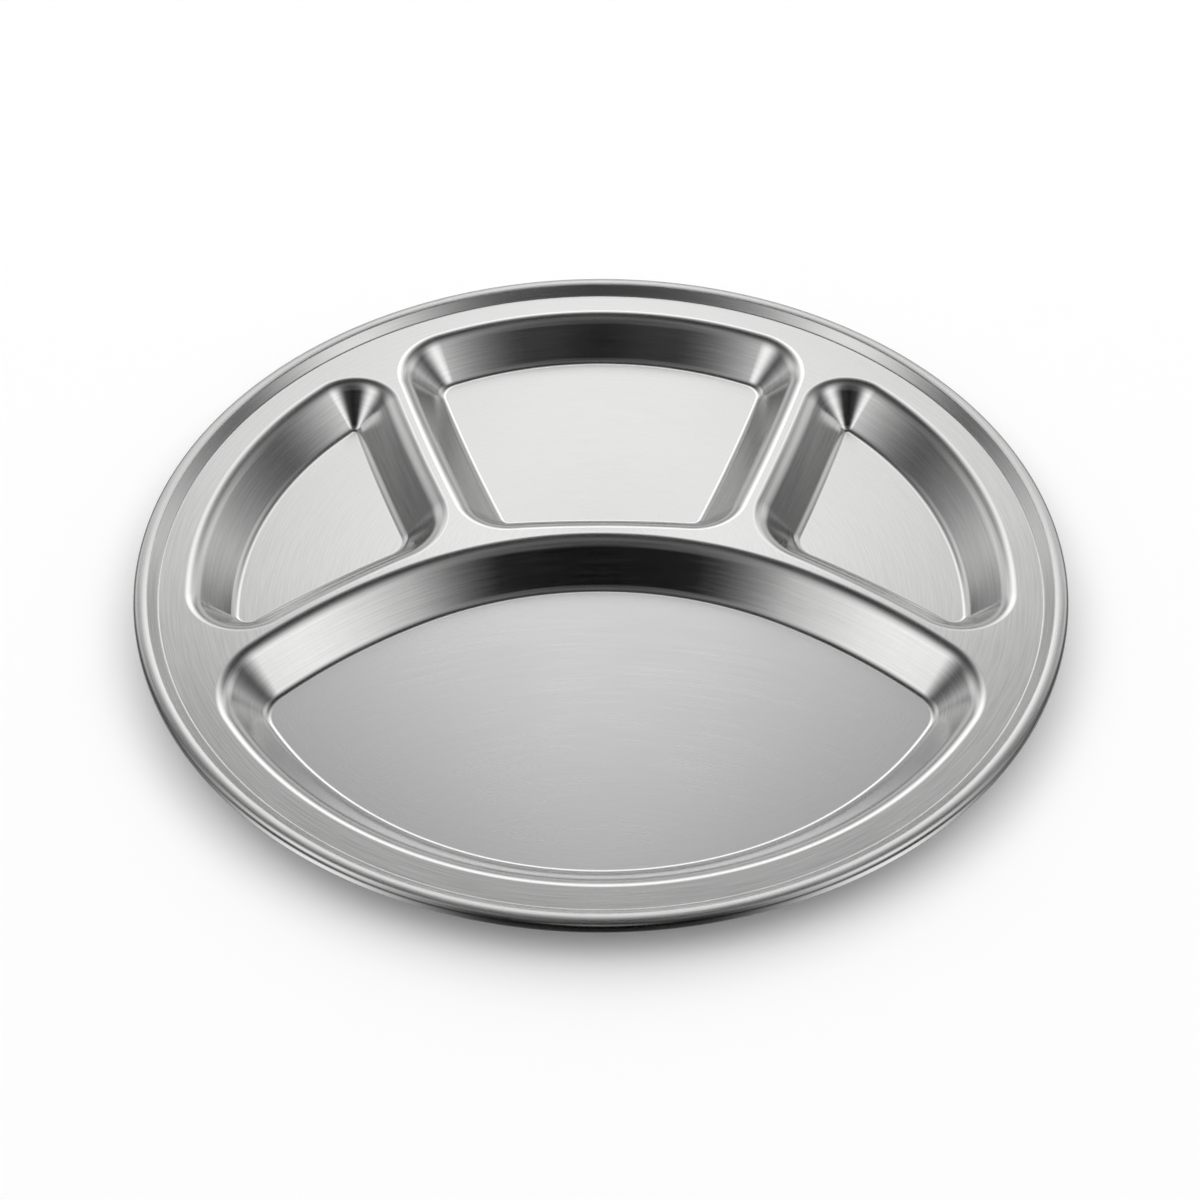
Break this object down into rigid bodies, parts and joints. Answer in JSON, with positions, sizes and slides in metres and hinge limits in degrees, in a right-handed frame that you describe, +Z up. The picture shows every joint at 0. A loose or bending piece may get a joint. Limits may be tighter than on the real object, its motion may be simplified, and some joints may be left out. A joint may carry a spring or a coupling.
{
  "type": "divided compartment plate",
  "caption": "Round shallow metal plate divided by ribs into a wide front compartment, a rear compartment and a smaller one on each side, with a flat flange and a rolled rim.",
  "frame": {"origin": "centre of the plate, on the plane that the undersides of the compartments rest on", "axes": "+Z up out of the compartments, -Y towards the wide front compartment, X across the plate"},
  "size_m": [0.28, 0.28, 0.0144],
  "materials": {
    "sheet": "satin brushed stainless steel",
    "wire": "drawn steel wire"
  },
  "bodies": {
    "root": {"pressed_sheet": "sheet", "rim_wire": "wire"}
  },
  "joints": []
}
